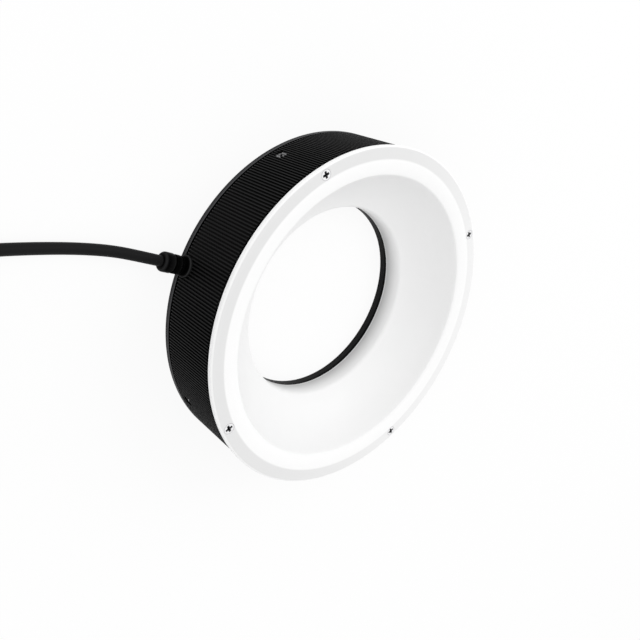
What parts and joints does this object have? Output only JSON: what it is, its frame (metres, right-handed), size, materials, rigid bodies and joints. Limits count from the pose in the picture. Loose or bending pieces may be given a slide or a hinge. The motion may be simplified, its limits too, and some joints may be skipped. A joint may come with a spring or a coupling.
{
  "type": "machine vision ring light",
  "caption": "Round lamp ring with a ribbed black housing, a white concave diffuser around an open centre, and a side cord with an in-line plug.",
  "frame": {"origin": "on the light's axis in the plane of its rear face, on which it lies", "axes": "+Z along the light's axis towards its lit front; the cord leaves along -X"},
  "size_m": [0.2697, 0.1635, 0.034],
  "materials": {
    "black_anodised": "black anodised, satin",
    "black_cover": "black anodised, matte",
    "opal_white": "opal white, fine satin",
    "zinc_steel": "bright zinc plated",
    "black_steel": "black oxide",
    "silicone_grey": "matte silicone",
    "white_board": "aluminium core with white solder mask",
    "led_white": "matte",
    "led_phosphor": "clear over yellow phosphor",
    "resistor_black": "glazed ceramic",
    "terminal_white": "semi-gloss",
    "wire_brown": "semi-gloss insulation",
    "wire_blue": "semi-gloss insulation",
    "gland_black": "satin moulded",
    "tie_nylon": "black nylon",
    "cord_black": "satin PVC jacket",
    "shrink_black": "heat-shrink",
    "plug_black": "moulded nylon",
    "contact_tin": "tin plated"
  },
  "bodies": {
    "root": {"housing": "black_anodised", "rear_cover": "black_cover", "front_diffuser": "opal_white", "front_screws": "zinc_steel", "side_screws": "black_steel", "thermal_pad": "silicone_grey", "led_board": "white_board", "board_screws": "zinc_steel", "led_packages": "led_white", "led_lenses": "led_phosphor", "string_resistors": "resistor_black", "terminal_block": "terminal_white", "lead_positive": "wire_brown", "lead_negative": "wire_blue", "cable_gland": "gland_black", "jacket_tie": "tie_nylon", "cord_inner": "cord_black", "cord_lead": "cord_black", "cord_coil": "cord_black", "coil_tie": "tie_nylon", "cord_tail": "cord_black", "plug_sleeve": "shrink_black", "plug_wire_positive": "wire_brown", "plug_wire_negative": "wire_blue", "plug_shell": "plug_black", "plug_contacts": "contact_tin"}
  },
  "joints": []
}
